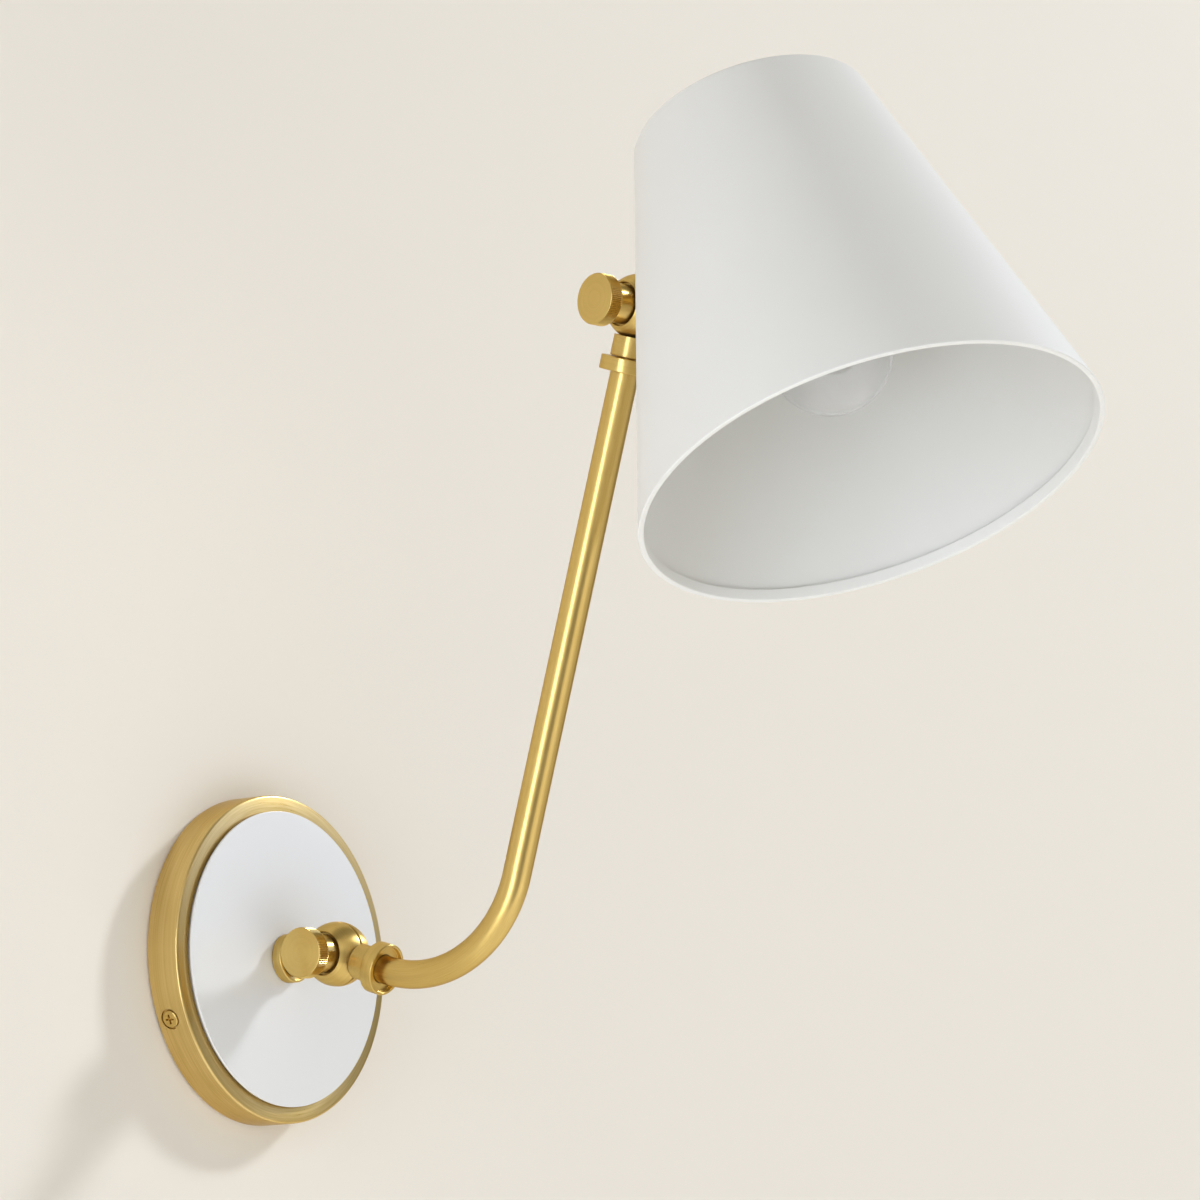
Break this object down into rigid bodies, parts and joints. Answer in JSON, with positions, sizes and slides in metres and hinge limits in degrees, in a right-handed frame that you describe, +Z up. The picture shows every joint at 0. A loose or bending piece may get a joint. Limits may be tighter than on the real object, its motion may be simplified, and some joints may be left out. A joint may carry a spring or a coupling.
{
  "type": "swing arm wall sconce",
  "caption": "Wall lamp with a round plate, a bent tube between two thumb-screw knuckles, and a tilting cone shade over a globe bulb.",
  "frame": {"origin": "centre of the wall plate's back, on the wall", "axes": "+Z up, -Y out of the wall, +X along the wall, to the right of someone who faces it"},
  "size_m": [0.2078, 0.4608, 0.4303],
  "materials": {
    "canopy_ring": "brushed satin",
    "wall_boss": "brushed satin",
    "canopy_screw_1": "brushed satin",
    "canopy_screw_2": "brushed satin",
    "lower_knuckle_wall_half": "brushed satin",
    "lower_knuckle_arm_half": "brushed satin",
    "lower_collar": "brushed satin",
    "arm_tube": "brushed satin",
    "upper_collar": "brushed satin",
    "upper_knuckle_arm_half": "brushed satin",
    "upper_knuckle_shade_half": "brushed satin",
    "lower_thumb_screw": "brushed satin",
    "upper_thumb_screw": "brushed satin",
    "shade_boss": "brushed satin",
    "socket_contact": "brushed satin",
    "stem_nipple": "zinc plated",
    "nipple_washer": "zinc plated",
    "nipple_nut": "zinc plated",
    "mounting_strap": "zinc plated",
    "lower_spring_washer": "zinc plated",
    "upper_spring_washer": "zinc plated",
    "shade_nipple": "zinc plated",
    "shade_washer": "zinc plated",
    "shade_nut": "zinc plated",
    "socket_nipple": "zinc plated",
    "socket_nut": "zinc plated",
    "bulb_base": "zinc plated",
    "ground_screw": "green passivated",
    "canopy_disc": "satin enamel",
    "shade": "matt powder coat",
    "socket_bracket": "satin enamel",
    "socket_cap": "satin enamel",
    "socket_shell": "satin enamel",
    "lower_friction_washer": "pressed fibre",
    "upper_friction_washer": "pressed fibre",
    "socket_core": "moulded phenolic",
    "lead_neutral": "insulation sleeve",
    "arm_lead": "insulation sleeve",
    "socket_lead": "insulation sleeve",
    "lead_live": "insulation sleeve",
    "wire_connector_live": "moulded",
    "wire_connector_neutral": "moulded",
    "bulb_glass": "clear",
    "bulb_stem": "clear",
    "bulb_filament": "bare wire"
  },
  "bodies": {
    "wall_plate": {"canopy_ring": "canopy_ring", "canopy_disc": "canopy_disc", "wall_boss": "wall_boss", "stem_nipple": "stem_nipple", "nipple_washer": "nipple_washer", "nipple_nut": "nipple_nut", "mounting_strap": "mounting_strap", "ground_screw": "ground_screw", "canopy_screw_1": "canopy_screw_1", "canopy_screw_2": "canopy_screw_2", "lead_live": "lead_live", "lead_neutral": "lead_neutral", "wire_connector_live": "wire_connector_live", "wire_connector_neutral": "wire_connector_neutral"},
    "base": {"lower_knuckle_wall_half": "lower_knuckle_wall_half", "lower_friction_washer": "lower_friction_washer"},
    "arm": {"lower_knuckle_arm_half": "lower_knuckle_arm_half", "lower_collar": "lower_collar", "arm_tube": "arm_tube", "upper_collar": "upper_collar", "arm_lead": "arm_lead"},
    "lower_knob": {"lower_thumb_screw": "lower_thumb_screw", "lower_spring_washer": "lower_spring_washer"},
    "head_yoke": {"upper_knuckle_arm_half": "upper_knuckle_arm_half", "upper_friction_washer": "upper_friction_washer"},
    "upper_knob": {"upper_thumb_screw": "upper_thumb_screw", "upper_spring_washer": "upper_spring_washer"},
    "head": {"upper_knuckle_shade_half": "upper_knuckle_shade_half", "shade_boss": "shade_boss", "shade_nipple": "shade_nipple", "shade_washer": "shade_washer", "shade_nut": "shade_nut", "socket_bracket": "socket_bracket", "socket_nipple": "socket_nipple", "socket_nut": "socket_nut", "socket_cap": "socket_cap", "socket_shell": "socket_shell", "socket_core": "socket_core", "socket_contact": "socket_contact", "shade": "shade", "bulb_glass": "bulb_glass", "bulb_base": "bulb_base", "bulb_stem": "bulb_stem", "bulb_filament": "bulb_filament", "socket_lead": "socket_lead"}
  },
  "joints": [
    {"name": "base_swivel", "type": "hinge", "parent": "wall_plate", "child": "base", "pos_m": [0, -0.0479, 0], "axis": [0, 1, 0], "range_deg": [-90, 90]},
    {"name": "arm_tilt", "type": "hinge", "parent": "base", "child": "arm", "pos_m": [0, -0.0479, 0], "axis": [1, 0, 0], "range_deg": [-35, 70]},
    {"name": "lower_knob_turn", "type": "hinge", "parent": "arm", "child": "lower_knob", "pos_m": [0, -0.0479, 0], "axis": [-1, 0, 0], "range_deg": [0, 360]},
    {"name": "head_swivel", "type": "hinge", "parent": "arm", "child": "head_yoke", "pos_m": [0, -0.22957, 0.26732], "axis": [0, -0.3156, 0.9489], "range_deg": [-78, 102]},
    {"name": "upper_knob_turn", "type": "hinge", "parent": "head_yoke", "child": "upper_knob", "pos_m": [0, -0.22957, 0.26732], "axis": [-0.9785, 0.1957, 0.0651], "range_deg": [0, 360]},
    {"name": "shade_tilt", "type": "hinge", "parent": "head_yoke", "child": "head", "pos_m": [0, -0.22957, 0.26732], "axis": [0.9785, -0.1957, -0.0651], "range_deg": [-65, 30]}
  ]
}
